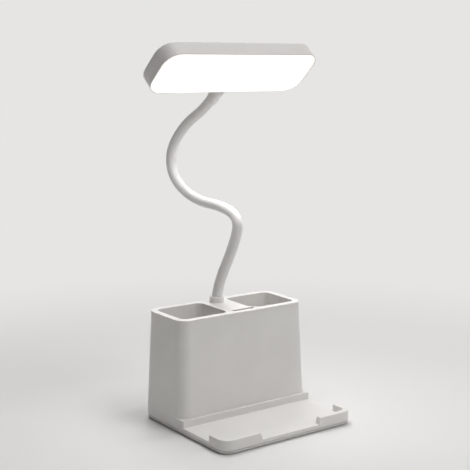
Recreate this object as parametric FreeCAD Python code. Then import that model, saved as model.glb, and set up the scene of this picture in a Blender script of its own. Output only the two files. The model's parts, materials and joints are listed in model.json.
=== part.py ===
"""Rechargeable desk lamp: pen-cup base with a phone channel, a gooseneck and a flat LED head.

Millimetres. X is the width, Y runs from the phone channel (front) to the back, Z is up.
The origin is the middle of the anti-slip pad, on the surface that the lamp stands on.
The neck and the head are built in a plane that is turned by neck_yaw about the collar's axis:
there (a, b) means a mm behind the collar's axis and b mm above the table.
"""
import FreeCAD, Part
import math
import os

V = FreeCAD.Vector
ORIGIN = V(0, 0, 0)
X_AXIS = V(1, 0, 0)
Y_AXIS = V(0, 1, 0)
Z_AXIS = V(0, 0, 1)

# ---------------------------------------------------------------- driving dimensions
# base footprint
base_width = 150.0
base_depth = 133.0
base_corner = 11.5
wall = 2.2
seat_gap = 0.1                  # between pieces that are dropped into each other
over = 1.0                      # how far a cutting shape runs past the face that it opens
least_corner = 1.0              # where an inset outline would lose its rounded corners

# heights from the table
pad_bottom = 0.0
cover_bottom = 1.2
housing_bottom = 3.9
channel_floor = 7.0
plinth_top = 13.3
rim_top = 105.0

# bottom cover and anti-slip pad
cover_taper = 0.35              # the cover's side leans inward by this towards the table
cover_reveal = 0.25             # the cover's side stands back by this from the housing
seam_height = 0.6               # shadow gap between the cover's side and the housing
seam_depth = 1.0
tray_depth = 0.6                # the cover is sunk by this inside the housing's wall
tray_margin = 2.0
pad_sink = 0.6                  # how deep the anti-slip pad lies in the bottom cover
pad_inset = 6.0
pad_corner = 8.5

# holder with the two cups
holder_depth = 65.0
holder_draft_x = 3.3
holder_draft_front = 4.1
holder_draft_back = 2.0
plinth_ledge = 3.5
plinth_front_corner = 2.0
rim_thick = 2.0
rim_overhang = 0.4
rim_band = 6.4
rim_round = 0.8
cup_corner = 6.2
cup_near_corner = 11.0          # the right cup's corner beside the slot
cup_edge_round = 0.5
cup_wall = 1.8
cup_draft = 1.2
cup_floor_thick = 1.8
bridge_width = 29.4
slot_length = 24.5
slot_width = 4.3
slot_corner = 0.6
slot_from_rim = 5.1
slot_shift = 3.55
slot_depth = 34.0
slot_wall = 1.2

# skirt and snap hooks that hold the cup insert in the housing
locate_gap = 0.2
skirt_depth = 6.0
skirt_lap = 0.2                 # how far the skirt runs into the cups' walls
hook_x = 40.0
hook_width = 9.0
hook_height = 2.6
hook_flat = 0.9
hook_drop = 2.2                 # from the wall's top to the hook's top
hook_reach = 1.1
hook_gap = 0.25

# lip of the phone channel
lip_thick = 5.5
lip_return = 23.0
lip_inner_corner = 6.0
lip_round = 0.5
lip_core_width = 1.9
lip_core_top = 11.0
lip_core_clear = 3.0            # from the notch to the groove under the lip
lip_rib_height = 2.4
lip_rib_gap = 0.15
notch_top = 69.4
notch_bottom = 65.6

# screws of the bottom cover
boss_radius = 3.6
boss_web = 1.6
boss_from_side = 11.5
boss_from_front = 8.0
boss_from_back = 12.5
boss_below_cups = 3.9
pilot_end = 3.0                 # plastic left above the pilot hole
screw_radius = 1.45
screw_gap = 0.05
screw_clearance = 0.15
screw_length_left = 3.0         # from the screw's tip to the end of its pilot hole
screw_head_radius = 2.7
screw_head_thick = 1.1

# cell, foam and counterweights
cell_radius = 9.2
cell_length = 65.0
cell_button = (2.8, 1.5)        # radius and length
cell_x = -26.0
cell_from_front = 15.5
cell_gap = 0.15
cell_clear = 1.0                # from the cover's inner face to the cell
saddle_thick = 4.0
saddle_spread = 41.6
saddle_lip = 1.6
saddle_low = 2.0                # the saddles end this much below the cell's axis
foam_size = (40.0, 8.0, 2.0)
weight_height = 9.5
weight_gap = 2.5
weight_corner = 1.5

# control board, its screws and parts, and the charging socket
board_size = (50.0, 25.0, 1.6)
board_from_wall = 3.3
board_stand = 4.6
board_screw_inset = 4.0
board_post_radius = 2.6
board_pilot_depth = 5.0
board_screw_length = 4.0
board_chips = [                 # x, distance behind the board's middle, width, depth, height
    (-14.5, 0.5, 5.0, 5.0, 1.5),
    (11.0, -5.5, 6.0, 5.0, 1.6),
    (14.5, 4.5, 7.0, 7.0, 3.2),
]
capacitor = (-10.0, -8.0, 2.5, 6.0)     # x, distance behind the board's middle, radius, height
usb_size = (8.94, 7.35, 3.26)
usb_corner_gap = 0.01           # keeps a flat between the socket's two end rounds
usb_shell = 0.3
usb_back_wall = 0.2
usb_opening_gap = 0.35
usb_recess = 1.0                # from the housing's back to the socket's mouth
usb_tongue_size = (6.54, 5.15, 0.7)
usb_tongue_inset = 1.0
lamp_plug_size = (6.4, 6.4, 5.5)
wire_radius = 1.2

# touch pad under the bridge
touch_size = (18.0, 13.0, 0.5)
touch_corner = 2.0
touch_from_collar = 11.0

# gooseneck and its fixing
collar_from_back = 15.5
collar_radius = 7.0
collar_height = 6.0
collar_round = 1.0
neck_yaw = 5.5
neck_radius = 5.0
core_radius = 3.0
core_gap = 0.05
core_clear = 1.6                # from a socket to the core above it
core_in_dome = 1.0              # how far the core reaches into its segment's dome
joint_gap = 0.12
stud_radius = 4.0
stud_gap = 0.1
stud_bore = 1.6
stud_reach = 1.2                # above the bridge, inside the collar
stud_below_nut = 3.0
nut_across_flats = 13.0
nut_thick = 5.0
washer_radius = 8.0
washer_thick = 1.2
wire_in_stud = 6.0
# corners of the neck's route in its own plane, from the bridge to the head's rear wall:
# distance behind the collar's axis and height above the bridge
neck_route = [
    (0.0, 0.0),
    (0.0, 14.3),
    (-26.6, 63.1),
    (-31.8, 85.8),
    (-11.1, 94.7),
    (34.1, 96.5),
    (67.2, 113.9),
    (72.4, 141.5),
    (47.8, 170.2),
    (14.6, 188.4),
    (-4.9, 208.3),
]
arc_share = 0.45                # of the shorter run beside a corner, taken by the corner's arc
# where the neck bends: run of the route, share of that run
neck_joints = [(1, 0.30), (1, 0.62), (2, 0.50), (4, 0.42), (5, 0.55), (6, 0.50), (7, 0.45), (8, 0.50)]

# head, in its own frame: X is its width, Y from the rear wall to the front edge, Z away from the light
head_width = 185.0
head_depth = 49.7
head_thick = 15.4
head_below = 7.3                # from the neck's axis to the lit side
head_corner = 15.9
head_wall = 1.6
head_roof = 1.8
head_round = 1.4
head_lip = 0.8                  # rim of the wall that shows around the diffuser
head_twist = -0.84
diffuser_thick = 1.5
diffuser_skirt = 3.4
diffuser_skirt_wall = 1.2
diffuser_recess = 0.2
led_board_size = (160.0, 34.0, 1.0)
led_board_drop = 2.2            # from the head's inner roof to the board
led_screw_inset = 6.0
led_screw_length = 2.0
led_size = (2.8, 3.5, 0.7)
led_margin = 6.0
led_columns = 14
led_row_places = (-4.0, 9.0)    # from the middle of the head's depth
ferrule_neck_radius = 5.75
ferrule_head_radius = 6.4
ferrule_length = 19.0
stub_length = 12.5
stub_reach = 0.8                # behind the head's rear wall
neck_end_gap = 0.2              # between the neck's sleeve and the stud or the stub
clamp_size = (24.0, 9.0, 3.0)
clamp_web = 1.0                 # under the stub
clamp_room = 1.0                # around the clamp
clamp_screw_inset = 3.2
clamp_screw_length = 2.5
small_boss_radius = 2.4
small_boss_sink = 0.5           # how far a boss runs into the head's roof
small_pilot_end = 0.4
small_screw_radius = 1.0
small_head_radius = 2.0
small_head_thick = 1.0
small_head_gap = 0.3            # between the clamp's screws and the diffuser


# ---------------------------------------------------------------- shape helpers
def rounded_wire(x0, x1, y0, y1, z, radii):
    """Closed outline of a rectangle; radii is one corner radius, or four from the front left round."""
    if not isinstance(radii, tuple):
        radii = (radii,) * 4
    k = 1 - math.sqrt(0.5)
    corners = [(x0, y0, 1, 1), (x1, y0, -1, 1), (x1, y1, -1, -1), (x0, y1, 1, -1)]
    arcs = []
    for number, (x, y, sx, sy) in enumerate(corners):
        r = radii[number]
        on_side = V(x, y + sy * r, z)
        middle = V(x + sx * r * k, y + sy * r * k, z)
        on_front_or_back = V(x + sx * r, y, z)
        points = [on_side, middle, on_front_or_back]
        arcs.append(points if number % 2 == 0 else points[::-1])
    edges = []
    for number, points in enumerate(arcs):
        following = arcs[(number + 1) % 4]
        edges.append(Part.Arc(*points).toShape())
        edges.append(Part.LineSegment(points[2], following[0]).toShape())
    return Part.Wire(edges)


def block(x0, x1, y0, y1, z0, z1, radii):
    """Upright block with a rounded rectangular outline."""
    return Part.Face(rounded_wire(x0, x1, y0, y1, z0, radii)).extrude(V(0, 0, z1 - z0))


def drafted(lower, upper):
    """Solid between two outlines with straight, leaning sides."""
    return Part.makeLoft([lower, upper], True, True)


def box(x0, x1, y0, y1, z0, z1):
    return Part.makeBox(x1 - x0, y1 - y0, z1 - z0, V(x0, y0, z0))


def rod(radius, start, end):
    axis = end - start
    return Part.makeCylinder(radius, axis.Length, start, axis)


def upright(radius, x, y, z0, z1):
    return Part.makeCylinder(radius, z1 - z0, V(x, y, z0))


def round_edges(shape, radius, chosen):
    """Fillet the edges for which chosen(edge) is true."""
    edges = [e for e in shape.Edges if chosen(e)]
    return shape.makeFillet(radius, edges)


def flat_at(edge, z, tolerance=0.01):
    """True for an edge that lies in the horizontal plane at height z."""
    return abs(edge.BoundBox.ZMin - z) < tolerance and abs(edge.BoundBox.ZMax - z) < tolerance


def one_solid(shape):
    """The single solid of a shape, cleaned of seams between faces that are one surface."""
    shape = shape.removeSplitter()
    if len(shape.Solids) != 1:
        raise ValueError("expected one solid, found %d" % len(shape.Solids))
    return shape.Solids[0]


def screws(places, shank_radius, head_radius, head_bottom, head_top, tip):
    """Pan-head screws driven upward, one group of separate solids."""
    group = []
    for x, y in places:
        head = upright(head_radius, x, y, head_bottom, head_top)
        shank = upright(shank_radius, x, y, head_top, tip)
        group.append(head.fuse(shank).removeSplitter())
    return Part.makeCompound(group)


# ---------------------------------------------------------------- values that follow
half_width = base_width / 2
base_front = -base_depth / 2
base_back = base_depth / 2
holder_front = base_back - holder_depth
plinth_front = holder_front - plinth_ledge
wall_top = rim_top - rim_thick
top_half_width = half_width - holder_draft_x
top_front = holder_front + holder_draft_front
top_back = base_back - holder_draft_back
rim_half_width = top_half_width + rim_overhang
rim_front = top_front - rim_overhang
rim_back = top_back + rim_overhang
rim_corner = base_corner + rim_overhang
cup_outer_x = rim_half_width - rim_band
cup_front = rim_front + rim_band
cup_back = rim_back - rim_band
skirt_front = top_front + wall + locate_gap
skirt_back = top_back - wall - locate_gap
skirt_half_width = top_half_width - wall - locate_gap

chamber_floor = housing_bottom - tray_depth
chamber_half_width = half_width - wall - tray_margin
chamber_front = holder_front + wall + tray_margin
cell_y = holder_front + cell_from_front
cell_axis_z = chamber_floor + cell_clear + cell_radius
foam_bottom = cell_axis_z + cell_radius + seat_gap
cup_floor = foam_bottom + foam_size[2] + seat_gap + cup_floor_thick
boss_top = cup_floor - cup_floor_thick - boss_below_cups
boss_x = half_width - boss_from_side
bosses = [(side * boss_x, y) for side in (-1, 1)
          for y in (holder_front + boss_from_front, base_back - boss_from_back)]
board_bottom = chamber_floor + board_stand
board_top = board_bottom + board_size[2]
board_y = base_back - wall - board_from_wall - board_size[1] / 2
usb_back = base_back - usb_recess
usb_centre_z = board_top + usb_size[2] / 2

collar_y = base_back - collar_from_back
stud_bottom = wall_top - washer_thick - nut_thick - stud_below_nut

head_light_z = -head_below
head_top_z = head_thick - head_below
head_roof_z = head_top_z - head_roof
led_board_top = head_roof_z - led_board_drop
led_board_bottom = led_board_top - led_board_size[2]
diffuser_bottom = head_light_z + diffuser_recess
diffuser_top = diffuser_bottom + diffuser_thick
clamp_bottom = diffuser_top + small_head_gap + small_head_thick
stub_radius = -clamp_bottom - clamp_web - seat_gap
clamp_y = head_wall + clamp_room + clamp_size[1] / 2
clamp_cut_x = clamp_size[0] / 2 + clamp_room


def holder_outline(z, inset):
    """The holder's outline at height z, moved inward by inset; it leans in towards the top."""
    t = (z - plinth_top) / (wall_top - plinth_top)
    hw = half_width - holder_draft_x * t - inset
    y0 = holder_front + holder_draft_front * t + inset
    y1 = base_back - holder_draft_back * t - inset
    return rounded_wire(-hw, hw, y0, y1, z, max(base_corner - inset, least_corner))


def foot_of_holder(inset, z0, z1):
    """Upright block under the holder, as wide as its foot, moved inward by inset."""
    shape = Part.Face(holder_outline(plinth_top, inset))
    shape.translate(V(0, 0, z0 - plinth_top))
    return shape.extrude(V(0, 0, z1 - z0))


# ---------------------------------------------------------------- base housing
def lip():
    """Channel floor with the U-shaped lip in front of it and the notch in the lip's middle."""
    outer = block(-half_width, half_width, base_front, base_back, housing_bottom, plinth_top, base_corner)
    inner = block(-half_width + lip_thick, half_width - lip_thick, base_front + lip_thick, base_back,
                  channel_floor, plinth_top + over, lip_inner_corner)
    behind = box(-half_width - over, half_width + over, base_front + lip_return, base_back + over,
                 channel_floor, plinth_top + over)
    shape = outer.cut(inner).cut(behind)
    shape = round_edges(shape, lip_round, lambda e: flat_at(e, plinth_top))
    slope = (notch_top - notch_bottom) / 2 / (plinth_top - channel_floor)
    low = notch_bottom / 2
    high = notch_top / 2 + slope * over
    corners = [V(-low, 0, channel_floor), V(low, 0, channel_floor),
               V(high, 0, plinth_top + over), V(-high, 0, plinth_top + over)]
    notch = Part.Face(Part.makePolygon(corners + corners[:1]))
    notch.translate(V(0, base_front - over, 0))
    return shape.cut(notch.extrude(V(0, lip_thick + 2 * over, 0)))


def lip_core(gap, z0, z1):
    """Groove under the lip on both sides of the notch, or with a gap the cover's rib that enters it."""
    width = lip_core_width - 2 * gap
    out = (lip_thick - width) / 2
    inn = out + width
    ring = block(-half_width + out, half_width - out, base_front + out, base_back, z0, z1, base_corner - out)
    ring = ring.cut(block(-half_width + inn, half_width - inn, base_front + inn, base_back + over,
                          z0 - over, z1 + over, base_corner - inn))
    end = base_front + lip_return - out - gap
    ring = ring.common(box(-half_width, half_width, base_front, end, z0, z1))
    middle = notch_top / 2 + lip_core_clear + gap
    return ring.cut(box(-middle, middle, base_front, end, z0 - over, z1 + over))


def snap_hooks():
    """Wedges on the skirt of the cup insert, with a flat top and a lead-in below."""
    group = []
    top = wall_top - hook_drop
    for face, out in ((skirt_front, -1), (skirt_back, 1)):
        root = face - out * skirt_lap
        tip = face + out * hook_reach
        profile = [(root, top), (tip, top), (tip, top - hook_flat), (root, top - hook_height)]
        for x in (-hook_x, hook_x):
            corners = [V(x - hook_width / 2, y, z) for y, z in profile]
            wedge = Part.Face(Part.makePolygon(corners + corners[:1]))
            group.append(wedge.extrude(V(hook_width, 0, 0)))
    return group


def snap_pockets():
    """Pockets of the housing's wall that the snap hooks enter."""
    group = []
    top = wall_top - hook_drop
    side = hook_width / 2 + hook_gap
    for face, out in ((skirt_front, -1), (skirt_back, 1)):
        y0, y1 = sorted((face, face + out * (hook_reach + hook_gap)))
        for x in (-hook_x, hook_x):
            group.append(box(x - side, x + side, y0, y1, top - hook_height - hook_gap, top + seat_gap))
    return group


def make_base_housing():
    shape = lip()
    front = plinth_front_corner
    shape = shape.fuse(block(-half_width, half_width, plinth_front, base_back, housing_bottom, plinth_top,
                             (front, front, base_corner, base_corner)))
    shape = shape.fuse(drafted(holder_outline(plinth_top, 0), holder_outline(wall_top, 0)))
    shape = shape.cut(drafted(holder_outline(plinth_top, wall), holder_outline(wall_top, wall)))
    shape = shape.cut(foot_of_holder(wall, housing_bottom, plinth_top))
    inside = foot_of_holder(wall / 2, housing_bottom, boss_top)
    for x, y in bosses:
        side = math.copysign(half_width, x)
        post = upright(boss_radius, x, y, housing_bottom, boss_top)
        web = box(min(x, side), max(x, side), y - boss_web / 2, y + boss_web / 2, housing_bottom, boss_top)
        shape = shape.fuse(post.fuse(web).common(inside))
    for x, y in bosses:
        shape = shape.cut(upright(screw_radius + screw_gap, x, y, housing_bottom, boss_top - pilot_end))
    shape = shape.cut(lip_core(0, housing_bottom, lip_core_top))
    for pocket in snap_pockets():
        shape = shape.cut(pocket)
    return one_solid(shape.cut(usb_opening()))


def usb_opening():
    """Rounded slot through the back wall for the charging plug."""
    w = usb_size[0] / 2 + usb_opening_gap
    h = usb_size[2] / 2 + usb_opening_gap
    z = usb_centre_z
    y0 = base_back - wall - over
    y1 = base_back + over
    shape = box(-w + h, w - h, y0, y1, z - h, z + h)
    for x in (h - w, w - h):
        shape = shape.fuse(rod(h, V(x, y0, z), V(x, y1, z)))
    return shape


# ---------------------------------------------------------------- bottom cover and what stands on it
def cover_outline(z, inset):
    return rounded_wire(-half_width + inset, half_width - inset, base_front + inset, base_back - inset,
                        z, base_corner - inset)


def make_bottom_cover():
    seam_bottom = housing_bottom - seam_height
    shape = drafted(cover_outline(cover_bottom, cover_reveal + cover_taper),
                    cover_outline(seam_bottom, cover_reveal))
    upper = Part.Face(cover_outline(seam_bottom, seam_depth))
    shape = shape.fuse(upper.extrude(V(0, 0, seam_height)))
    shape = shape.cut(foot_of_holder(wall + tray_margin, chamber_floor, housing_bottom + over))
    for x, y in bosses:
        shape = shape.fuse(upright(boss_radius, x, y, cover_bottom + pad_sink, housing_bottom))
    shape = shape.cut(pad_block(cover_bottom - over, cover_bottom + pad_sink, 0))
    head_top = cover_bottom + pad_sink + seat_gap + screw_head_thick
    for x, y in bosses:
        shape = shape.cut(upright(screw_radius + screw_clearance, x, y, cover_bottom, housing_bottom + over))
        shape = shape.cut(upright(screw_head_radius + screw_clearance, x, y, cover_bottom, head_top))
    shape = shape.fuse(lip_core(lip_rib_gap, seam_bottom, housing_bottom + lip_rib_height))
    shape = shape.fuse(cell_saddles()).fuse(board_posts())
    for x, y in board_screw_places():
        pilot_bottom = board_bottom - board_pilot_depth
        shape = shape.cut(upright(small_screw_radius + screw_gap, x, y, pilot_bottom, board_bottom))
    return one_solid(shape)


def pad_block(z0, z1, gap):
    inset = pad_inset + gap
    return block(-half_width + inset, half_width - inset, base_front + inset, base_back - inset,
                 z0, z1, pad_corner)


def make_foot_pad():
    return pad_block(pad_bottom, cover_bottom + pad_sink, seat_gap)


def make_cover_screws():
    head_bottom = cover_bottom + pad_sink + seat_gap
    tip = boss_top - pilot_end - screw_length_left
    return screws(bosses, screw_radius, screw_head_radius, head_bottom, head_bottom + screw_head_thick, tip)


def cell_saddles():
    """Two cradles of the bottom cover that the cell lies in."""
    bed = rod(cell_radius + cell_gap, V(cell_x - cell_length, cell_y, cell_axis_z),
              V(cell_x + cell_length, cell_y, cell_axis_z))
    reach = cell_radius + saddle_lip
    cradles = []
    for x in (cell_x - saddle_spread / 2, cell_x + saddle_spread / 2):
        cradle = box(x - saddle_thick / 2, x + saddle_thick / 2, cell_y - reach, cell_y + reach,
                     cover_bottom + pad_sink, cell_axis_z - saddle_low)
        cradles.append(cradle.cut(bed))
    return cradles[0].fuse(cradles[1])


def make_cell():
    radius, length = cell_button
    left = cell_x - cell_length / 2
    right = cell_x + cell_length / 2
    can = rod(cell_radius, V(left, cell_y, cell_axis_z), V(right - length, cell_y, cell_axis_z))
    button = rod(radius, V(right - length, cell_y, cell_axis_z), V(right, cell_y, cell_axis_z))
    return one_solid(can.fuse(button))


def make_cell_foam():
    """Foam strip that holds the cell down in its cradles."""
    w, d, h = foam_size
    return box(cell_x - w / 2, cell_x + w / 2, cell_y - d / 2, cell_y + d / 2, foam_bottom, foam_bottom + h)


def make_counterweights():
    """Steel blocks glued to the bottom cover, one group of separate solids."""
    top = chamber_floor + weight_height
    cell_row_back = cell_y + cell_radius + saddle_lip
    boss_side = boss_x - boss_radius - weight_gap
    row_front = cell_row_back + weight_gap
    row_back = base_back - boss_from_back - boss_radius - weight_gap
    outer = chamber_half_width - weight_gap
    inner = board_size[0] / 2 + weight_gap
    places = [
        (cell_x + cell_length / 2 + weight_gap, boss_side, chamber_front + weight_gap, cell_row_back),
        (-outer, -inner, row_front, row_back),
        (inner, outer, row_front, row_back),
    ]
    return Part.makeCompound([block(*place, chamber_floor, top, weight_corner) for place in places])


# ---------------------------------------------------------------- control board
def board_corners():
    x = board_size[0] / 2 - board_screw_inset
    y = board_size[1] / 2 - board_screw_inset
    return [(sx * x, board_y + sy * y) for sy in (-1, 1) for sx in (-1, 1)]


def board_screw_places():
    """The two corners away from the charging socket."""
    return board_corners()[:2]


def board_posts():
    foot = cover_bottom + pad_sink
    posts = [upright(board_post_radius, x, y, foot, board_bottom) for x, y in board_corners()]
    return posts[0].fuse(posts[1:])


def make_control_board():
    w, d, _ = board_size
    plate = box(-w / 2, w / 2, board_y - d / 2, board_y + d / 2, board_bottom, board_top)
    for x, y in board_screw_places():
        hole = upright(small_screw_radius + screw_clearance, x, y, board_bottom - over, board_top + over)
        plate = plate.cut(hole)
    return one_solid(plate)


def make_board_screws():
    """Screws driven down into the posts, one group of separate solids."""
    group = []
    for x, y in board_screw_places():
        head = upright(small_head_radius, x, y, board_top, board_top + small_head_thick)
        shank = upright(small_screw_radius, x, y, board_bottom - board_screw_length, board_top)
        group.append(head.fuse(shank).removeSplitter())
    return Part.makeCompound(group)


def make_board_parts():
    """Charging chip, driver chip, coil and a capacitor on the control board."""
    pieces = []
    for x, behind, w, d, h in board_chips:
        y = board_y + behind
        pieces.append(box(x - w / 2, x + w / 2, y - d / 2, y + d / 2, board_top, board_top + h))
    x, behind, radius, height = capacitor
    pieces.append(upright(radius, x, board_y + behind, board_top, board_top + height))
    return Part.makeCompound(pieces)


def make_usb_port():
    """Metal shell of the charging socket, open at the back."""
    w, d, h = usb_size
    corner = h / 2 - usb_corner_gap

    def oval(inset, mouth, length):
        flat = rounded_wire(-w / 2 + inset, w / 2 - inset, inset, h - inset, 0, corner - inset)
        face = Part.Face(flat)
        face.rotate(ORIGIN, X_AXIS, 90)
        face.translate(V(0, mouth, board_top))
        return face.extrude(V(0, -length, 0))

    hollow = oval(usb_shell, usb_back + over, d - usb_back_wall + over)
    return one_solid(oval(0, usb_back, d).cut(hollow))


def make_usb_tongue():
    w, d, h = usb_tongue_size
    y1 = usb_back - usb_tongue_inset
    return box(-w / 2, w / 2, y1 - d, y1, usb_centre_z - h / 2, usb_centre_z + h / 2)


def make_lamp_plug():
    """Plug of the lamp's lead on the control board."""
    w, d, h = lamp_plug_size
    return box(-w / 2, w / 2, collar_y - d / 2, collar_y + d / 2, board_top, board_top + h)


def make_lamp_wire():
    """Lead from the neck's stud down between the cups to the board."""
    return upright(wire_radius, 0, collar_y, board_top + lamp_plug_size[2], stud_bottom + wire_in_stud)


# ---------------------------------------------------------------- cup insert
def cup_hollow(side, inset):
    """Space of one cup (inset 0) or its outer form (negative inset); it narrows towards the floor."""
    near = bridge_width / 2 + inset
    far = cup_outer_x - inset
    y0 = cup_front + inset
    y1 = cup_back - inset
    floor = cup_floor if inset >= 0 else cup_floor - cup_floor_thick
    x0, x1 = (near, far) if side > 0 else (-far, -near)
    corners = (cup_near_corner if side > 0 else cup_corner, cup_corner, cup_corner, cup_corner)
    top_radii = tuple(r - inset for r in corners)
    low_radii = tuple(max(r - cup_draft, least_corner) for r in top_radii)
    d = cup_draft
    return drafted(rounded_wire(x0 + d, x1 - d, y0 + d, y1 - d, floor, low_radii),
                   rounded_wire(x0, x1, y0, y1, rim_top, top_radii))


def slot_block(inset, z0, z1):
    x0 = slot_shift - slot_length / 2
    y0 = rim_front + slot_from_rim
    return block(x0 - inset, x0 + slot_length + inset, y0 - inset, y0 + slot_width + inset, z0, z1,
                 slot_corner + inset)


def insert_skirt():
    """Ring under the rim that locates the insert in the housing, with its snap hooks."""
    z0 = wall_top - skirt_depth
    ring = block(-skirt_half_width, skirt_half_width, skirt_front, skirt_back, z0, wall_top,
                 base_corner - wall - locate_gap)
    x = cup_outer_x + cup_wall - skirt_lap
    ring = ring.cut(block(-x, x, cup_front - cup_wall + skirt_lap, cup_back + cup_wall - skirt_lap,
                          z0 - over, wall_top + over, cup_corner + cup_wall - skirt_lap))
    return ring.fuse(snap_hooks())


def at_cup_mouth(edge):
    """True for an edge of a cup's mouth in the top face."""
    bounds = edge.BoundBox
    x = (bounds.XMin + bounds.XMax) / 2
    inside = bounds.YMin > cup_front - seat_gap and bounds.YMax < cup_back + seat_gap
    across = bridge_width / 2 - seat_gap < abs(x) < cup_outer_x + seat_gap
    return flat_at(edge, rim_top) and inside and across


def make_cup_insert():
    rim = block(-rim_half_width, rim_half_width, rim_front, rim_back, wall_top, rim_top, rim_corner)
    shape = round_edges(rim, rim_round, lambda e: flat_at(e, rim_top)).fuse(insert_skirt())
    below_top = box(-half_width, half_width, base_front, base_back, 0, rim_top - rim_thick / 2)
    for side in (-1, 1):
        shape = shape.fuse(cup_hollow(side, -cup_wall).common(below_top))
    slot_bottom = rim_top - slot_depth
    shape = shape.fuse(slot_block(slot_wall, slot_bottom, rim_top - rim_thick / 2))
    for side in (-1, 1):
        shape = shape.cut(cup_hollow(side, 0))
    shape = round_edges(shape.removeSplitter(), cup_edge_round, at_cup_mouth)
    shape = shape.cut(slot_block(0, slot_bottom + slot_wall, rim_top + over))
    shape = shape.cut(upright(stud_radius + stud_gap, 0, collar_y, wall_top - over, rim_top + over))
    return one_solid(shape)


def make_touch_electrode():
    """Copper touch pad glued under the bridge, in front of the neck's nut."""
    w, d, t = touch_size
    y1 = collar_y - touch_from_collar
    return block(-w / 2, w / 2, y1 - d, y1, wall_top - t, wall_top, touch_corner)


# ---------------------------------------------------------------- neck fixing
def make_neck_collar():
    shape = upright(collar_radius, 0, collar_y, rim_top, rim_top + collar_height)
    shape = round_edges(shape, collar_round, lambda e: flat_at(e, rim_top + collar_height))
    bore = upright(neck_radius + seat_gap, 0, collar_y, rim_top - over, rim_top + collar_height + over)
    return one_solid(shape.cut(bore))


def make_neck_stud():
    top = rim_top + stud_reach
    shape = upright(stud_radius, 0, collar_y, stud_bottom, top)
    return one_solid(shape.cut(upright(stud_bore, 0, collar_y, stud_bottom - over, top + over)))


def make_neck_washer():
    shape = upright(washer_radius, 0, collar_y, wall_top - washer_thick, wall_top)
    return one_solid(shape.cut(upright(stud_radius + stud_gap, 0, collar_y, stud_bottom, rim_top)))


def make_neck_nut():
    bottom = wall_top - washer_thick - nut_thick
    corner = nut_across_flats / math.sqrt(3)
    turns = [math.radians(60 * i) for i in range(7)]
    corners = [V(corner * math.cos(t), collar_y + corner * math.sin(t), bottom) for t in turns]
    shape = Part.Face(Part.makePolygon(corners)).extrude(V(0, 0, nut_thick))
    return one_solid(shape.cut(upright(stud_radius + screw_gap, 0, collar_y, stud_bottom, rim_top)))


# ---------------------------------------------------------------- gooseneck
def in_neck_plane(a, b):
    """The point a mm behind the collar's axis and b mm above the bridge, in the neck's plane."""
    yaw = math.radians(neck_yaw)
    return V(-a * math.sin(yaw), collar_y + a * math.cos(yaw), rim_top + b)


def route_edges():
    """The neck's centre line as straight runs joined by tangent arcs: a list of (edge, length)."""
    points = [in_neck_plane(a, b) for a, b in neck_route]
    runs = [(points[i + 1] - points[i]).Length for i in range(len(points) - 1)]
    pieces = []
    here = points[0]
    for i in range(1, len(points) - 1):
        back = (points[i - 1] - points[i]).normalize()
        ahead = (points[i + 1] - points[i]).normalize()
        cut = arc_share * min(runs[i - 1], runs[i])
        half_turn = math.acos(-back.dot(ahead)) / 2
        radius = cut / math.tan(half_turn)
        start = points[i] + back * cut
        end = points[i] + ahead * cut
        out = (back + ahead).normalize()
        middle = points[i] + out * (math.hypot(radius, cut) - radius)
        pieces.append((Part.LineSegment(here, start), (start - here).Length))
        pieces.append((Part.Arc(start, middle, end), 2 * half_turn * radius))
        here = end
    pieces.append((Part.LineSegment(here, points[-1]), (points[-1] - here).Length))
    return pieces


ROUTE = route_edges()


def joint_places():
    """Distance along the centre line of each neck joint; a joint lies on the straight part of its run."""
    places = []
    points = [in_neck_plane(a, b) for a, b in neck_route]
    for run, share in neck_joints:
        before = sum(length for _, length in ROUTE[:2 * run])
        length = (points[run + 1] - points[run]).Length
        cut = arc_share * min(length, (points[run] - points[run - 1]).Length)
        places.append(before + share * length - cut)
    return places


def point_and_direction(s):
    """Place and unit direction of the centre line at distance s."""
    for curve, length in ROUTE:
        if s <= length:
            u = curve.FirstParameter + (curve.LastParameter - curve.FirstParameter) * s / length
            return curve.value(u), V(curve.tangent(u)[0]).normalize()
        s -= length
    raise ValueError("past the end of the route")


def tube(radius, s0, s1):
    """Round rod along the centre line: a cylinder on each run and a ring sector on each arc."""
    shape = None
    at = 0.0
    for curve, length in ROUTE:
        first = max(s0, at)
        reach = min(s1, at + length) - first
        at += length
        if reach < 1e-6:
            continue
        start, direction = point_and_direction(first)
        disc = Part.Face(Part.Wire(Part.Circle(start, direction, radius).toShape()))
        if isinstance(curve, Part.LineSegment):
            piece = disc.extrude(direction * reach)
        else:
            circle = curve.toShape().Curve
            piece = disc.revolve(circle.Center, circle.Axis, math.degrees(reach / circle.Radius))
        shape = piece if shape is None else shape.fuse(piece)
    return shape


def neck_spans():
    """Start and end of each neck segment along the centre line."""
    route_length = sum(length for _, length in ROUTE)
    stops = [stud_reach + neck_end_gap] + joint_places() + [route_length - stub_reach - neck_end_gap]
    return list(zip(stops[:-1], stops[1:]))


def core_span(number):
    """Stretch of the steel core inside one segment, clear of the socket and of the dome's tip."""
    s0, s1 = neck_spans()[number]
    first = s0 if number == 0 else s0 + neck_radius + core_clear
    last = s1 if number == len(neck_joints) else s1 + core_in_dome
    return first, last


def make_neck_sleeve(number):
    """Silicone sleeve of one segment: a socket at its lower end and a dome at its upper end."""
    s0, s1 = neck_spans()[number]
    shape = tube(neck_radius, s0, s1)
    if number < len(neck_joints):
        centre, direction = point_and_direction(s1)
        shape = shape.fuse(Part.makeSphere(neck_radius, centre, direction, 0, 90, 360))
    if number > 0:
        centre, direction = point_and_direction(s0)
        shape = shape.cut(Part.makeSphere(neck_radius + joint_gap, centre, direction))
    return one_solid(shape.cut(tube(core_radius + core_gap, *core_span(number))))


def make_neck_core(number):
    """Spiral steel core of one segment, as its outer cylinder."""
    return one_solid(tube(core_radius, *core_span(number)))


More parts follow.
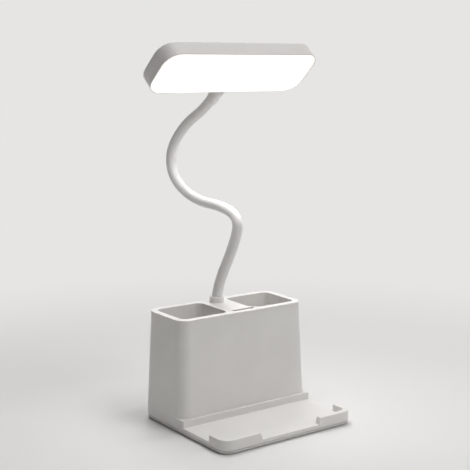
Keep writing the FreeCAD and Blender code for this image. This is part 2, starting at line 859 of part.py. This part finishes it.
# ---------------------------------------------------------------- head
def head_tilt():
    """Angle of the head's depth above the horizontal: the direction of the route's last run."""
    (a0, b0), (a1, b1) = neck_route[-2:]
    return math.degrees(math.atan2(b1 - b0, a0 - a1))


def place_head(shape):
    """From the head's own frame to its place at the end of the neck."""
    turned = shape.copy()
    turned.rotate(ORIGIN, Y_AXIS, head_twist)
    turned.rotate(ORIGIN, Z_AXIS, 180)
    turned.rotate(ORIGIN, X_AXIS, -head_tilt())
    turned.rotate(ORIGIN, Z_AXIS, neck_yaw)
    turned.translate(in_neck_plane(*neck_route[-1]))
    return turned


def head_block(inset, z0, z1):
    return block(-head_width / 2 + inset, head_width / 2 - inset, inset, head_depth - inset, z0, z1,
                 head_corner - inset)


def head_screw_places():
    x = led_board_size[0] / 2 - led_screw_inset
    return [(share * x, head_depth / 2) for share in (-1, -1 / 3, 1 / 3, 1)]


def clamp_screw_places():
    x = clamp_size[0] / 2 - clamp_screw_inset
    return [(-x, clamp_y), (x, clamp_y)]


def make_head_shell():
    shape = head_block(0, head_light_z, head_top_z)
    shape = round_edges(shape, head_round, lambda e: flat_at(e, head_top_z))
    shape = shape.cut(head_block(head_wall, head_light_z - over, head_roof_z))
    shape = shape.cut(head_block(head_lip, head_light_z - over, diffuser_top))
    shape = shape.cut(rod(stub_radius + seat_gap, V(0, -over, 0), V(0, head_wall + over, 0)))
    boss_end = head_roof_z + small_boss_sink
    clamp_top = clamp_bottom + clamp_size[2]
    screwed = [(place, led_board_top) for place in head_screw_places()]
    screwed += [(place, clamp_top) for place in clamp_screw_places()]
    for (x, y), bottom in screwed:
        shape = shape.fuse(upright(small_boss_radius, x, y, bottom, boss_end))
        shape = shape.cut(upright(small_screw_radius + screw_gap, x, y, bottom - over,
                                  head_roof_z + small_pilot_end))
    return one_solid(shape)


def make_neck_clamp():
    """Steel saddle that presses the neck's stub against the head's roof."""
    w, d, t = clamp_size
    y0 = clamp_y - d / 2
    shape = box(-w / 2, w / 2, y0, y0 + d, clamp_bottom, clamp_bottom + t)
    shape = shape.cut(rod(stub_radius + seat_gap, V(0, y0 - over, 0), V(0, y0 + d + over, 0)))
    for x, y in clamp_screw_places():
        shape = shape.cut(upright(small_screw_radius + screw_clearance, x, y, clamp_bottom - over,
                                  clamp_bottom + t + over))
    return one_solid(shape)


def make_clamp_screws():
    return screws(clamp_screw_places(), small_screw_radius, small_head_radius,
                  clamp_bottom - small_head_thick, clamp_bottom,
                  clamp_bottom + clamp_size[2] + clamp_screw_length)


def make_neck_stub():
    """Steel end of the neck, through the rear wall and under the clamp."""
    shape = rod(stub_radius, V(0, -stub_reach, 0), V(0, stub_length, 0))
    return one_solid(shape.cut(rod(stud_bore, V(0, -stub_reach - over, 0), V(0, stub_length + over, 0))))


def make_head_ferrule():
    """Tapered sleeve between the neck and the head's rear wall."""
    shape = Part.makeCone(ferrule_neck_radius, ferrule_head_radius, ferrule_length,
                          V(0, -ferrule_length, 0), Y_AXIS)
    return one_solid(shape.cut(rod(neck_radius + seat_gap, V(0, -ferrule_length - over, 0), V(0, over, 0))))


def make_diffuser():
    """Opal cover: a plate in the wall's rebate and a skirt that stands inside the wall."""
    plate = head_block(head_lip + seat_gap, diffuser_bottom, diffuser_top)
    skirt_top = diffuser_top + diffuser_skirt
    skirt = head_block(head_wall + seat_gap, diffuser_bottom, skirt_top)
    shape = plate.fuse(skirt)
    shape = shape.cut(head_block(head_wall + seat_gap + diffuser_skirt_wall, diffuser_top, skirt_top + over))
    return one_solid(shape.cut(box(-clamp_cut_x, clamp_cut_x, 0, head_depth / 2, diffuser_top,
                                   skirt_top + over)))


def make_led_board():
    w, d, _ = led_board_size
    y0 = head_depth / 2 - d / 2
    shape = box(-w / 2, w / 2, y0, y0 + d, led_board_bottom, led_board_top)
    shape = shape.cut(box(-clamp_cut_x, clamp_cut_x, y0 - over, stub_length + clamp_room,
                          led_board_bottom - over, led_board_top + over))
    for x, y in head_screw_places():
        shape = shape.cut(upright(small_screw_radius + screw_clearance, x, y, led_board_bottom - over,
                                  led_board_top + over))
    return one_solid(shape)


def make_leds():
    w, d, t = led_size
    pitch = (led_board_size[0] - 2 * led_margin) / (led_columns - 1)
    z1 = led_board_bottom
    leds = []
    for column in range(led_columns):
        x = (column - (led_columns - 1) / 2) * pitch
        for row in led_row_places:
            y = head_depth / 2 + row
            leds.append(box(x - w / 2, x + w / 2, y - d / 2, y + d / 2, z1 - t, z1))
    return Part.makeCompound(leds)


def make_led_screws():
    return screws(head_screw_places(), small_screw_radius, small_head_radius,
                  led_board_bottom - small_head_thick, led_board_bottom, led_board_top + led_screw_length)


# ---------------------------------------------------------------- export
BASE_NODES = {
    "base_housing": make_base_housing,
    "bottom_cover": make_bottom_cover,
    "foot_pad": make_foot_pad,
    "cover_screws": make_cover_screws,
    "cell": make_cell,
    "cell_foam": make_cell_foam,
    "counterweights": make_counterweights,
    "control_board": make_control_board,
    "board_screws": make_board_screws,
    "board_parts": make_board_parts,
    "usb_port": make_usb_port,
    "usb_tongue": make_usb_tongue,
    "lamp_plug": make_lamp_plug,
    "lamp_wire": make_lamp_wire,
    "cup_insert": make_cup_insert,
    "touch_electrode": make_touch_electrode,
    "neck_collar": make_neck_collar,
    "neck_stud": make_neck_stud,
    "neck_washer": make_neck_washer,
    "neck_nut": make_neck_nut,
}
HEAD_NODES = {
    "head_ferrule": make_head_ferrule,
    "neck_stub": make_neck_stub,
    "neck_clamp": make_neck_clamp,
    "clamp_screws": make_clamp_screws,
    "head_shell": make_head_shell,
    "diffuser": make_diffuser,
    "led_board": make_led_board,
    "leds": make_leds,
    "led_screws": make_led_screws,
}


def main():
    os.makedirs("parts", exist_ok=True)
    shapes = {name: make() for name, make in BASE_NODES.items()}
    for number in range(len(neck_joints) + 1):
        shapes["neck_sleeve_%d" % (number + 1)] = make_neck_sleeve(number)
        shapes["neck_core_%d" % (number + 1)] = make_neck_core(number)
    shapes.update({name: place_head(make()) for name, make in HEAD_NODES.items()})
    for name, shape in shapes.items():
        if not shape.isValid():
            print("NOT VALID", name)
        shape.exportStep("parts/%s.step" % name)
        print("%-16s %2d solids %10.1f mm3" % (name, len(shape.Solids), shape.Volume))
    for place in joint_places():
        centre, direction = point_and_direction(place)
        print("neck joint at %8.3f %8.3f %8.3f  along %7.4f %7.4f %7.4f"
              % (centre.x, centre.y, centre.z, direction.x, direction.y, direction.z))


main()
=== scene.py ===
"""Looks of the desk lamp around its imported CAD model: metres, X right, Y back, Z up."""

import json
import math

import bmesh
import bpy
import numpy as np
from mathutils import Matrix, Vector


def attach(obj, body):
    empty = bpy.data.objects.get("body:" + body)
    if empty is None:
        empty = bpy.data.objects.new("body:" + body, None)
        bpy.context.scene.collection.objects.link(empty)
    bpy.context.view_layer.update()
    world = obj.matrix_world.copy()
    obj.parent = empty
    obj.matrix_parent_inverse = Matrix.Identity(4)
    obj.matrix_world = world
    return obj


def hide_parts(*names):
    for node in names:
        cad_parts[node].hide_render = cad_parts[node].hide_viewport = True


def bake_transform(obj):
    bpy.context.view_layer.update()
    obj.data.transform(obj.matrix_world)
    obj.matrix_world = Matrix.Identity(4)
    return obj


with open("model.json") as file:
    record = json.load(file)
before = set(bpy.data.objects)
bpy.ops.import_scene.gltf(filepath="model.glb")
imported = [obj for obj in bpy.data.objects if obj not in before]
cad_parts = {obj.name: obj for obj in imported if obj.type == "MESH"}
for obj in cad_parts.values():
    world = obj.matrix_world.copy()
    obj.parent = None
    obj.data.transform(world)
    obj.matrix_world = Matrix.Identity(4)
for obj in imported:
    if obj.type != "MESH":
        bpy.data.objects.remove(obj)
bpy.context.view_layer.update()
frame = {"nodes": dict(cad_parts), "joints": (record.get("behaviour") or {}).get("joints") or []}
nodes = frame["nodes"]

# ---------------------------------------------------------------- camera values
# from the base's edges in the 470 x 470 picture; angles in degrees
IMAGE_SIZE = 470
FOCAL_PIXELS = 1110.2
SENSOR_MM = 36.0
CAMERA_AZIMUTH = -36.33          # negative is from the left of the front
CAMERA_ELEVATION = 10.01
CAMERA_ROLL = 0.30
CAMERA_DISTANCE = 1.0455
CAMERA_TARGET = Vector((0.0, 0.0215, 0.17535))
CAMERA_REACH = 50

# ---------------------------------------------------------------- gooseneck values
# the route's corners in the neck's own upright plane, as the CAD model has them
NECK_YAW = math.radians(5.5)
COLLAR_Y = 0.051
RIM_TOP = 0.105
NECK_RADIUS = 0.005
NECK_ROUTE = [
    (0.0, 0.0),
    (0.0, 0.0143),
    (-0.0266, 0.0631),
    (-0.0318, 0.0858),
    (-0.0111, 0.0947),
    (0.0341, 0.0965),
    (0.0672, 0.1139),
    (0.0724, 0.1415),
    (0.0478, 0.1702),
    (0.0146, 0.1884),
    (-0.0049, 0.2083),
]
RING_SIDES = 36
RINGS_PER_RUN = 24
END_INSET = 2                    # points of the line left out at each end

# ---------------------------------------------------------------- material values
# a noise's useful range, and the sockets of a colour Mix node
NOISE_LOW = 0.3
NOISE_HIGH = 0.7
NOISE_DETAIL = 3.0
NOISE_ROUGHNESS = 0.5
MIX_FACTOR, MIX_A, MIX_B, MIX_RESULT = 0, 6, 7, 2

# moulded plastic, rubber, foam and lacquer: scales of the flow of colour, of gloss and of the grain
FLOW_SCALE = 28.0
FLOW_DETAIL = 4.0
GLOSS_SCALE = 90.0
GRAIN_SCALE = 1700.0
GRAIN_DETAIL = 2.0
GRAIN_ROUGHNESS = 0.6
GRAIN_DEPTH = 0.00006
GRAIN_STRENGTH = 0.5
SPECULAR = 0.45
# key: name, darker colour, lighter colour, roughness range, what differs from the values above
MOULDED = {
    "white_plastic": ("white_abs", (0.795, 0.78, 0.76), (0.83, 0.815, 0.795), (0.36, 0.46), {}),
    "head_plastic": ("head_abs", (0.79, 0.772, 0.752), (0.825, 0.807, 0.787), (0.34, 0.44), {}),
    "cover_plastic": ("cover_abs", (0.70, 0.685, 0.665), (0.735, 0.72, 0.70), (0.45, 0.55), {}),
    "silicone": ("white_silicone", (0.85, 0.84, 0.825), (0.875, 0.865, 0.85), (0.52, 0.62),
                 {"grain": 3200.0, "depth": 0.000012, "strength": 0.25, "specular": 0.35}),
    "foam": ("dark_foam", (0.025, 0.025, 0.026), (0.045, 0.045, 0.046), (0.85, 0.95),
             {"grain": 1400.0, "depth": 0.0002, "specular": 0.2}),
    "black": ("black_plastic", (0.02, 0.02, 0.021), (0.035, 0.035, 0.036), (0.4, 0.55), {}),
    "green": ("green_board", (0.012, 0.11, 0.045), (0.02, 0.15, 0.06), (0.25, 0.4), {}),
    "blue": ("cell_wrap", (0.03, 0.16, 0.36), (0.04, 0.2, 0.42), (0.22, 0.34), {}),
    "yellow": ("led_phosphor", (0.8, 0.66, 0.2), (0.86, 0.74, 0.28), (0.3, 0.4), {}),
}

METAL_SHADE = 0.9                # darker colour as a part of the metal's own
METAL_FLOW_SCALE = 120.0
METAL_GLOSS_SCALE = 260.0
METAL_GRAIN_SCALE = 700.0
METAL_GRAIN_DEPTH = 0.00004
METAL_GRAIN_STRENGTH = 0.25
# key: name, colour, roughness range
METALS = {
    "steel": ("bright_steel", (0.62, 0.62, 0.64), (0.25, 0.4)),
    "iron": ("raw_iron", (0.26, 0.26, 0.28), (0.5, 0.7)),
    "copper": ("copper", (0.85, 0.5, 0.3), (0.25, 0.4)),
    "aluminium": ("board_aluminium", (0.8, 0.81, 0.82), (0.35, 0.5)),
}

# opal cover: its glow, and the warmer band along its rounded outline
OPAL_DARK = (0.90, 0.89, 0.86)
OPAL_LIGHT = (0.93, 0.92, 0.89)
OPAL_ROUGHNESS = (0.32, 0.4)
OPAL_FLOW_SCALE = 40.0
OPAL_GLOSS_SCALE = 150.0
OPAL_GRAIN_SCALE = 1800.0
OPAL_GRAIN_DEPTH = 0.00002
OPAL_GRAIN_STRENGTH = 0.2
PANEL_STRENGTH = 1.6
PANEL_GLOW = (1.0, 0.98, 0.94, 1)
PANEL_EDGE_GLOW = (0.39, 0.356, 0.3125, 1)
PANEL_BAND = 0.005
PANEL_CORNER = 0.017
PANEL_DOWNWARD = -0.3            # a face whose normal's Z is below this looks down
PANEL_FLAT = 0.0001              # depth within which a point counts as on the lit face

FINISH = {
    "white_plastic": ["base_housing", "cup_insert", "neck_collar", "head_ferrule"],
    "head_plastic": ["head_shell"],
    "cover_plastic": ["bottom_cover", "lamp_wire"],
    "foam": ["foot_pad", "cell_foam"],
    "black": ["board_parts", "usb_tongue", "lamp_plug"],
    "green": ["control_board"],
    "blue": ["cell"],
    "yellow": ["leds"],
    "steel": ["cover_screws", "board_screws", "clamp_screws", "led_screws", "neck_clamp", "neck_stub",
              "neck_stud", "neck_washer", "neck_nut", "usb_port"],
    "iron": ["counterweights"],
    "copper": ["touch_electrode"],
    "aluminium": ["led_board"],
    "opal": ["diffuser"],
}

# ---------------------------------------------------------------- stage and light values
FLOOR_COLOUR = (0.80, 0.793, 0.78)
FLOOR_LIGHTER = 1.015            # lighter tone of the floor as a part of its colour
FLOOR_FLOW_SCALE = 3.0
FLOOR_ROUGHNESS = 0.75
FLOOR_NEAR = 0.16                # distances between which the floor turns into the background
FLOOR_FAR = 0.75
BACKDROP_DISTANCE = 1.5
BACKDROP_SWEEP = 1.8
BACKDROP_STEPS = 32
STAGE_HALF = 9.0
STAGE_HEIGHT = 5.0
WORLD_COLOUR = (0.79, 0.783, 0.77)
WORLD_LIGHT = 0.17

LIGHT_TARGET = (0, 0.02, 0.10)
# name, place, width and length, watts
LIGHTS = [
    ("key", (0.30, -0.80, 1.46), (0.6, 0.6), 6.5),
    ("top", (0.25, 0.0, 2.10), (1.6, 1.6), 7),
    ("back", (0.45, 0.95, 1.50), (0.8, 0.8), 11),
    ("front", (0.9, -1.5, 0.9), (1.0, 1.0), 3),
]
LAMP_GAP = 0.004                 # from the lit cover to the light that stands in for its shine
LAMP_TARGET = (0, -0.04, 0.10)
LAMP_SIZE = (0.170, 0.030)
LAMP_POWER = 0.30


# ---------------------------------------------------------------- camera
def make_camera():
    azimuth = math.radians(CAMERA_AZIMUTH)
    elevation = math.radians(CAMERA_ELEVATION)
    level = math.cos(elevation)
    ahead = Vector((-math.sin(azimuth) * level, math.cos(azimuth) * level, -math.sin(elevation)))
    right = ahead.cross(Vector((0, 0, 1))).normalized()
    up = right.cross(ahead)
    roll = math.radians(CAMERA_ROLL)
    side = right * math.cos(roll) + up * math.sin(roll)
    top = up * math.cos(roll) - right * math.sin(roll)
    data = bpy.data.cameras.new("photo_camera")
    data.sensor_width = SENSOR_MM
    data.lens = FOCAL_PIXELS / IMAGE_SIZE * SENSOR_MM
    data.clip_end = CAMERA_REACH
    camera = bpy.data.objects.new("photo_camera", data)
    turn = Matrix((side, top, -ahead)).transposed().to_4x4()
    camera.matrix_world = Matrix.Translation(CAMERA_TARGET - ahead * CAMERA_DISTANCE) @ turn
    bpy.context.scene.collection.objects.link(camera)
    bpy.context.scene.camera = camera


# ---------------------------------------------------------------- materials
def new_material(name):
    """Node material with a Principled shader: (material, node tree, shader)."""
    material = bpy.data.materials.new(name)
    material.use_nodes = True
    tree = material.node_tree
    shader = tree.nodes["Principled BSDF"]
    return material, tree, shader


def noise(tree, scale, detail=NOISE_DETAIL, roughness=NOISE_ROUGHNESS):
    coordinates = tree.nodes.new("ShaderNodeTexCoord")
    texture = tree.nodes.new("ShaderNodeTexNoise")
    texture.inputs["Scale"].default_value = scale
    texture.inputs["Detail"].default_value = detail
    texture.inputs["Roughness"].default_value = roughness
    tree.links.new(coordinates.outputs["Object"], texture.inputs["Vector"])
    return texture.outputs["Fac"]


def spread(tree, value, low, high):
    """Map the useful range of a noise to low..high."""
    node = tree.nodes.new("ShaderNodeMapRange")
    node.inputs["From Min"].default_value = NOISE_LOW
    node.inputs["From Max"].default_value = NOISE_HIGH
    node.inputs["To Min"].default_value = low
    node.inputs["To Max"].default_value = high
    tree.links.new(value, node.inputs["Value"])
    return node.outputs["Result"]


def colour_mix(tree, factor, first, second):
    """A Mix node between two colours of four numbers."""
    mix = tree.nodes.new("ShaderNodeMix")
    mix.data_type = "RGBA"
    mix.inputs[MIX_A].default_value = first
    mix.inputs[MIX_B].default_value = second
    tree.links.new(factor, mix.inputs[MIX_FACTOR])
    return mix.outputs[MIX_RESULT]


def tint(tree, shader, scale, dark, light, detail=NOISE_DETAIL):
    """Base colour that wanders between two close colours."""
    wander = spread(tree, noise(tree, scale, detail), 0.0, 1.0)
    tree.links.new(colour_mix(tree, wander, (*dark, 1), (*light, 1)), shader.inputs["Base Color"])


def gloss(tree, shader, scale, low, high):
    """Roughness that wanders from low to high."""
    tree.links.new(spread(tree, noise(tree, scale), low, high), shader.inputs["Roughness"])


def bump(tree, shader, height, strength, distance):
    node = tree.nodes.new("ShaderNodeBump")
    node.inputs["Strength"].default_value = strength
    node.inputs["Distance"].default_value = distance
    tree.links.new(height, node.inputs["Height"])
    tree.links.new(node.outputs["Normal"], shader.inputs["Normal"])


def moulded(name, dark, light, rough, grain=GRAIN_SCALE, depth=GRAIN_DEPTH, strength=GRAIN_STRENGTH,
            specular=SPECULAR):
    """Moulded plastic or rubber: fine spark-erosion grain, a faint flow of colour and gloss."""
    material, tree, shader = new_material(name)
    shader.inputs["Specular IOR Level"].default_value = specular
    tint(tree, shader, FLOW_SCALE, dark, light, FLOW_DETAIL)
    gloss(tree, shader, GLOSS_SCALE, *rough)
    bump(tree, shader, noise(tree, grain, GRAIN_DETAIL, GRAIN_ROUGHNESS), strength, depth)
    return material


def metal(name, colour, rough):
    material, tree, shader = new_material(name)
    shader.inputs["Metallic"].default_value = 1.0
    dark = tuple(c * METAL_SHADE for c in colour)
    tint(tree, shader, METAL_FLOW_SCALE, dark, colour)
    gloss(tree, shader, METAL_GLOSS_SCALE, *rough)
    grain = noise(tree, METAL_GRAIN_SCALE, GRAIN_DETAIL)
    bump(tree, shader, grain, METAL_GRAIN_STRENGTH, METAL_GRAIN_DEPTH)
    return material


def math_node(tree, operation, first, second=0.0):
    """A Math node of two links or numbers."""
    node = tree.nodes.new("ShaderNodeMath")
    node.operation = operation
    for socket, value in zip(node.inputs, (first, second)):
        if isinstance(value, (int, float)):
            socket.default_value = value
        else:
            tree.links.new(value, socket)
    return node.outputs[0]


def panel_face():
    """Middle, outward normal, long and short axis, and half sizes of the head's lit underside."""
    mesh = nodes["diffuser"].data
    low = [face for face in mesh.polygons if face.normal.z < PANEL_DOWNWARD]
    normal = max(low, key=lambda face: face.area).normal.copy()
    furthest = max(vertex.co.dot(normal) for vertex in mesh.vertices)
    rim = np.array([v.co for v in mesh.vertices if v.co.dot(normal) > furthest - PANEL_FLAT])
    middle = (rim.min(axis=0) + rim.max(axis=0)) / 2
    long_axis = Vector(np.linalg.svd(rim - rim.mean(axis=0))[2][0]).normalized()
    short_axis = normal.cross(long_axis)
    halves = [np.abs((rim - middle) @ np.array(axis)).max() for axis in (long_axis, short_axis)]
    return Vector(middle), normal, (long_axis, short_axis), halves


def edge_depth(tree):
    """How far inside the panel's rounded outline a point lies, in metres."""
    middle, _, axes, halves = panel_face()
    place = tree.nodes.new("ShaderNodeTexCoord").outputs["Object"]
    beyond = []
    for axis, half in zip(axes, halves):
        along = tree.nodes.new("ShaderNodeVectorMath")
        along.operation = "DOT_PRODUCT"
        along.inputs[1].default_value = axis
        tree.links.new(place, along.inputs[0])
        offset = math_node(tree, "SUBTRACT", along.outputs["Value"], middle.dot(axis))
        reach = math_node(tree, "ABSOLUTE", offset)
        beyond.append(math_node(tree, "SUBTRACT", reach, float(half) - PANEL_CORNER))
    outside = [math_node(tree, "MAXIMUM", value, 0.0) for value in beyond]
    squares = [math_node(tree, "MULTIPLY", value, value) for value in outside]
    corner = math_node(tree, "SQRT", math_node(tree, "ADD", *squares))
    inside = math_node(tree, "MINIMUM", math_node(tree, "MAXIMUM", *beyond), 0.0)
    return math_node(tree, "SUBTRACT", PANEL_CORNER, math_node(tree, "ADD", corner, inside))


def opal(name):
    """Lit opal cover: it glows evenly and falls off to a warmer band along its edge."""
    material, tree, shader = new_material(name)
    tint(tree, shader, OPAL_FLOW_SCALE, OPAL_DARK, OPAL_LIGHT)
    gloss(tree, shader, OPAL_GLOSS_SCALE, *OPAL_ROUGHNESS)
    bump(tree, shader, noise(tree, OPAL_GRAIN_SCALE), OPAL_GRAIN_STRENGTH, OPAL_GRAIN_DEPTH)
    fall = tree.nodes.new("ShaderNodeMapRange")
    fall.interpolation_type = "SMOOTHSTEP"
    fall.inputs["From Max"].default_value = PANEL_BAND
    tree.links.new(edge_depth(tree), fall.inputs["Value"])
    glow = colour_mix(tree, fall.outputs["Result"], PANEL_EDGE_GLOW, PANEL_GLOW)
    tree.links.new(glow, shader.inputs["Emission Color"])
    shader.inputs["Emission Strength"].default_value = PANEL_STRENGTH
    return material


def make_materials():
    made = {key: moulded(*values, **extra) for key, (*values, extra) in MOULDED.items()}
    made.update({key: metal(*values) for key, values in METALS.items()})
    made["opal"] = opal("opal_cover")
    return made


def finish_nodes(materials):
    """Give every CAD node its material."""
    chosen = {node: key for key, names in FINISH.items() for node in names}
    for name, node in nodes.items():
        key = chosen.get(name, "silicone" if name.startswith("neck_sleeve") else "steel")
        node.data.materials.clear()
        node.data.materials.append(materials[key])


# ---------------------------------------------------------------- gooseneck
def neck_point(a, b):
    """The point a behind the collar's axis and b above the bridge, in the neck's plane."""
    return Vector((-a * math.sin(NECK_YAW), COLLAR_Y + a * math.cos(NECK_YAW), RIM_TOP + b))


def neck_line():
    """Points along the smooth centre line of the neck."""
    curve = bpy.data.curves.new("neck_line", "CURVE")
    curve.dimensions = "3D"
    spline = curve.splines.new("NURBS")
    spline.points.add(len(NECK_ROUTE) - 1)
    for point, corner in zip(spline.points, NECK_ROUTE):
        point.co = (*neck_point(*corner), 1)
    spline.order_u = 3
    spline.use_endpoint_u = True
    spline.resolution_u = RINGS_PER_RUN
    holder = bpy.data.objects.new("neck_line", curve)
    bpy.context.scene.collection.objects.link(holder)
    bpy.context.view_layer.update()
    mesh = bpy.data.meshes.new_from_object(holder)
    points = [v.co.copy() for v in mesh.vertices]
    bpy.data.objects.remove(holder)
    bpy.data.meshes.remove(mesh)
    return points


def nearest(points, place):
    """Index of the point of the line that is nearest to a place."""
    return min(range(len(points)), key=lambda i: (points[i] - place).length)


def tube_ring(shape, line, i, plane):
    """Vertices of one round ring, square to the line at its point i."""
    along = (line[i + 1] - line[i - 1]).normalized()
    other = along.cross(plane).normalized()
    ring = []
    for k in range(RING_SIDES):
        angle = 2 * math.pi * k / RING_SIDES
        out = plane * math.cos(angle) + other * math.sin(angle)
        ring.append(shape.verts.new(line[i] + out * NECK_RADIUS))
    return ring


def tube_piece(name, line, first, last, material):
    """Closed round tube along a stretch of the line, smooth along its side, with sharp-edged flat ends.

    Its end rings are square to the whole line, so they meet those of the next stretch exactly.
    """
    mesh = bpy.data.meshes.new(name)
    shape = bmesh.new()
    plane = Vector((math.cos(NECK_YAW), math.sin(NECK_YAW), 0))
    rings = [tube_ring(shape, line, i, plane) for i in range(first, last + 1)]
    for low, high in zip(rings[:-1], rings[1:]):
        for k in range(RING_SIDES):
            after = (k + 1) % RING_SIDES
            face = shape.faces.new((low[k], low[after], high[after], high[k]))
            face.smooth = True
    for cap in (list(reversed(rings[0])), rings[-1]):
        face = shape.faces.new(cap)
        for edge in face.edges:
            edge.smooth = False
    bmesh.ops.recalc_face_normals(shape, faces=shape.faces)
    shape.to_mesh(mesh)
    shape.free()
    mesh.materials.append(material)
    piece = bpy.data.objects.new(name, mesh)
    bpy.context.scene.collection.objects.link(piece)
    return piece


def make_neck(material):
    """One smooth sleeve, cut midway between the joints into one piece for each joint."""
    points = neck_line()
    joints = frame["joints"]
    at_joint = [nearest(points, Vector(joint["pos_m"])) for joint in joints]
    middles = [(a + b) // 2 for a, b in zip(at_joint[:-1], at_joint[1:])]
    cuts = [END_INSET] + middles + [len(points) - END_INSET]
    for number, joint in enumerate(joints):
        first, last = cuts[number], cuts[number + 1]
        piece = tube_piece("neck_skin_%d" % (number + 1), points, first, last, material)
        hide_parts("neck_sleeve_%d" % (number + 1))
        if number == len(joints) - 1:
            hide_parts("neck_sleeve_%d" % (number + 2))
        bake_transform(piece)


# ---------------------------------------------------------------- stage and light
def seen_directly(tree):
    """1 for rays that show the background: from the camera, in gloss or through glass."""
    path = tree.nodes.new("ShaderNodeLightPath")
    seen = math_node(tree, "MAXIMUM", path.outputs["Is Camera Ray"], path.outputs["Is Glossy Ray"])
    return math_node(tree, "MAXIMUM", seen, path.outputs["Is Transmission Ray"])


def background_share(tree):
    """0 near the lamp, rising to 1 further off, and only for rays that show the background."""
    place = tree.nodes.new("ShaderNodeNewGeometry")
    away = tree.nodes.new("ShaderNodeVectorMath")
    away.operation = "LENGTH"
    tree.links.new(place.outputs["Position"], away.inputs[0])
    ramp = tree.nodes.new("ShaderNodeMapRange")
    ramp.interpolation_type = "SMOOTHERSTEP"
    ramp.inputs["From Min"].default_value = FLOOR_NEAR
    ramp.inputs["From Max"].default_value = FLOOR_FAR
    tree.links.new(away.outputs["Value"], ramp.inputs["Value"])
    return math_node(tree, "MULTIPLY", ramp.outputs["Result"], seen_directly(tree))


def stage_material():
    """Pale floor that takes shadows near the lamp and turns into an even background further off."""
    material, tree, shader = new_material("pale_floor")
    tint(tree, shader, FLOOR_FLOW_SCALE, FLOOR_COLOUR, tuple(c * FLOOR_LIGHTER for c in FLOOR_COLOUR))
    shader.inputs["Roughness"].default_value = FLOOR_ROUGHNESS
    glow = tree.nodes.new("ShaderNodeEmission")
    glow.inputs["Color"].default_value = (*WORLD_COLOUR, 1)
    mix = tree.nodes.new("ShaderNodeMixShader")
    tree.links.new(background_share(tree), mix.inputs[0])
    tree.links.new(shader.outputs[0], mix.inputs[1])
    tree.links.new(glow.outputs[0], mix.inputs[2])
    tree.links.new(mix.outputs[0], tree.nodes["Material Output"].inputs["Surface"])
    return material


def stage_profile():
    """Side view of the floor and the backdrop that sweeps up from it: (distance, height) pairs."""
    profile = [(-STAGE_HALF, 0.0)]
    for step in range(BACKDROP_STEPS + 1):
        angle = math.pi / 2 * step / BACKDROP_STEPS
        profile.append((BACKDROP_DISTANCE + BACKDROP_SWEEP * math.sin(angle),
                        BACKDROP_SWEEP * (1 - math.cos(angle))))
    profile.append((BACKDROP_DISTANCE + BACKDROP_SWEEP, STAGE_HEIGHT))
    return profile


def make_stage():
    """Floor and backdrop in one sheet, square to the camera's direction."""
    material = stage_material()
    shape = bmesh.new()
    turn = Matrix.Rotation(math.radians(CAMERA_AZIMUTH), 3, "Z")
    rows = []
    for y, z in stage_profile():
        rows.append([shape.verts.new(turn @ Vector((x, y, z))) for x in (-STAGE_HALF, STAGE_HALF)])
    for low, high in zip(rows[:-1], rows[1:]):
        face = shape.faces.new((low[0], low[1], high[1], high[0]))
        face.smooth = True
    mesh = bpy.data.meshes.new("floor")
    shape.to_mesh(mesh)
    shape.free()
    mesh.materials.append(material)
    floor = bpy.data.objects.new("floor", mesh)
    bpy.context.scene.collection.objects.link(floor)


def make_world():
    """Pale surround for the camera and for reflections, dimmer for the light that it gives."""
    world = bpy.data.worlds.new("studio")
    world.use_nodes = True
    tree = world.node_tree
    background = tree.nodes["Background"]
    background.inputs["Color"].default_value = (*WORLD_COLOUR, 1)
    strength = tree.nodes.new("ShaderNodeMapRange")
    strength.inputs["To Min"].default_value = WORLD_LIGHT
    strength.inputs["To Max"].default_value = 1.0
    tree.links.new(seen_directly(tree), strength.inputs["Value"])
    tree.links.new(strength.outputs["Result"], background.inputs["Strength"])
    bpy.context.scene.world = world


def area_light(name, place, target, size, power):
    data = bpy.data.lights.new(name, "AREA")
    data.shape = "RECTANGLE"
    data.size, data.size_y = size
    data.energy = power
    light = bpy.data.objects.new(name, data)
    light.location = place
    light.rotation_euler = (Vector(target) - Vector(place)).to_track_quat("-Z", "Y").to_euler()
    bpy.context.scene.collection.objects.link(light)
    return light


def make_lights():
    """Four soft studio lights, and the shine of the lit panel, which goes with the head."""
    for name, place, size, power in LIGHTS:
        area_light(name, place, LIGHT_TARGET, size, power)
    centre, normal = panel_face()[:2]
    shine = area_light("lamp", centre + normal * LAMP_GAP, LAMP_TARGET, LAMP_SIZE, LAMP_POWER)
    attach(shine, "head")


make_camera()
materials = make_materials()
finish_nodes(materials)
make_neck(materials["silicone"])
make_stage()
make_lights()
make_world()
bpy.context.scene.view_settings.view_transform = "Standard"
